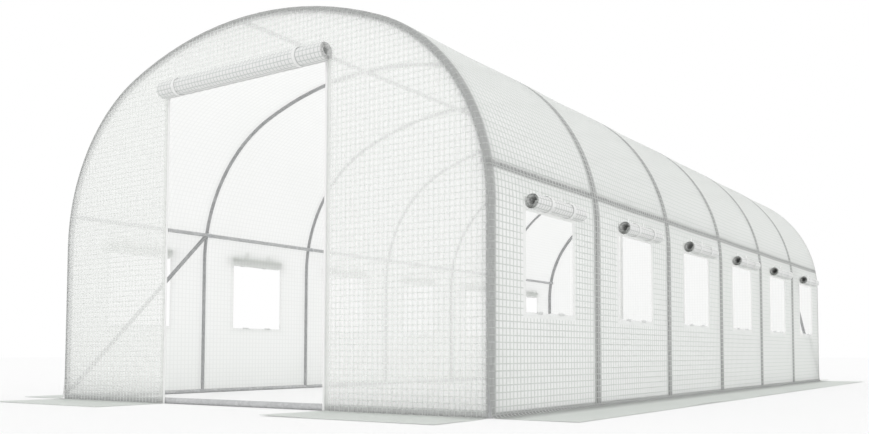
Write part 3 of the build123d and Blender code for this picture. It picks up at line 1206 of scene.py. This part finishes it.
def purlinClip():
    # sleeve along Y round a purlin with a bolt head on the inside at -X
    clearSelection()
    bpy.ops.mesh.primitive_cylinder_add(
        vertices=tube["sides"], radius=clip["radius"], depth=clip["length"], rotation=upright
    )
    sleeve = nameNew("purlin_clip")
    settle(sleeve)
    edit(sleeve)
    pick(sleeve, "FACE", lambda face: abs(face.normal.y) > facing)
    bpy.ops.mesh.inset(thickness=clip["rim"])
    bpy.ops.mesh.bevel(offset=clip["rimBevel"], segments=2, affect="EDGES")
    closeEdit()
    boltX = -clip["radius"] - clip["boltDeep"] / 2 + clip["boltSunk"]
    bpy.ops.mesh.primitive_cylinder_add(
        vertices=6, radius=clip["bolt"], depth=clip["boltDeep"],
        location=(boltX, 0, 0), rotation=(0, math.pi / 2, 0),
    )
    head = nameNew("purlin_clip_bolt")
    settle(head)
    edit(head)
    pick(head, "FACE", lambda face: face.normal.x < -facing)
    bpy.ops.mesh.inset(thickness=clip["boltRim"])
    bpy.ops.transform.translate(value=(-clip["boltDome"], 0, 0))
    closeEdit()
    whole = joinPieces([sleeve, head], "purlin_clip")
    smooth(whole)
    return whole


firstClip = purlinClip()
clips = []
for node in ("left_purlin", "right_purlin"):
    low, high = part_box(node)
    centre = (low + high) / 2
    for number in range(1, bayCount):
        place = (centre.x, frontStation + bayLength * number, centre.z)
        clips.append(copyOf(firstClip, "clip_copy", shift=place, turn=0 if centre.x > 0 else 180))
bpy.data.objects.remove(firstClip)
purlinClips = joinPieces(clips, "purlin_clips")
dress(purlinClips, clipSteel)
handOver(purlinClips, "frame_tube")
print("purlin clips ready")

# floor, light and camera

stage = {
    "floorSize": 120.0,
    "floorDrop": 0.0006,
    "floorColour": (0.94, 0.94, 0.94, 1),
    "floorGlow": 0.35,  # share of plain white that the camera sees
    "ambient": 0.99,
    "skyColour": (1, 1, 1, 1),
    "sunStrength": 0.22,
    "sunAngle": 3.0,
    "sunPlace": (4, -6, 8),
    "sunFrom": (0.55, -1.0, 0.7),
}


def makeFloor():
    clearSelection()
    bpy.ops.mesh.primitive_plane_add(size=stage["floorSize"], location=(0, 0, -stage["floorDrop"]))
    floor = nameNew("studio_floor")
    finish, tree = newFinish("floorWhite")
    face = addNode(tree, "BsdfDiffuse")
    face.inputs["Color"].default_value = stage["floorColour"]
    lit = addNode(tree, "Emission")
    path = addNode(tree, "LightPath")
    share = combine(tree, "MULTIPLY", path.outputs["Is Camera Ray"], stage["floorGlow"])
    toSurface(tree, blendShaders(tree, share, face.outputs["BSDF"], lit.outputs["Emission"]))
    dress(floor, finish)


def makeLight():
    world = bpy.data.worlds.new("studio")
    bpy.context.scene.world = world
    world.use_nodes = True
    tree = world.node_tree
    tree.nodes.clear()
    path = addNode(tree, "LightPath")
    seen = combine(tree, "MAXIMUM", path.outputs["Is Camera Ray"], path.outputs["Is Glossy Ray"])
    seen = combine(tree, "MAXIMUM", seen, path.outputs["Is Transmission Ray"])
    sky = addNode(tree, "Background")
    sky.inputs["Color"].default_value = stage["skyColour"]
    tree.links.new(spread(tree, seen, stage["ambient"], 1.0), sky.inputs["Strength"])
    output = addNode(tree, "OutputWorld")
    tree.links.new(sky.outputs["Background"], output.inputs["Surface"])
    clearSelection()
    bpy.ops.object.light_add(type="SUN", location=stage["sunPlace"])
    sun = bpy.context.object
    sun.name = "studio_sun"
    sun.data.energy = stage["sunStrength"]
    sun.data.angle = math.radians(stage["sunAngle"])
    sun.rotation_euler = Vector(stage["sunFrom"]).to_track_quat("Z", "Y").to_euler()


camera = {
    "place": (3.4594, -6.0991, 0.2652),
    "yaw": 32.69,
    "pitch": 2.938,
    "sensor": 36.0,
    "lens": 36.875,
    "shiftAcross": -0.0585,
    "shiftUp": 0.105,
    "farClip": 300.0,
}


def makeCamera():
    clearSelection()
    turn = (math.radians(90 + camera["pitch"]), 0, math.radians(camera["yaw"]))
    bpy.ops.object.camera_add(location=camera["place"], rotation=turn)
    view = bpy.context.object
    view.name = "studio_camera"
    view.data.sensor_width = camera["sensor"]
    view.data.lens = camera["lens"]
    view.data.shift_x = camera["shiftAcross"]
    view.data.shift_y = camera["shiftUp"]
    view.data.clip_end = camera["farClip"]
    bpy.context.scene.camera = view


makeFloor()
makeLight()
makeCamera()
bpy.context.scene.view_settings.view_transform = "Standard"
clearSelection()
print("floor, light and camera set")
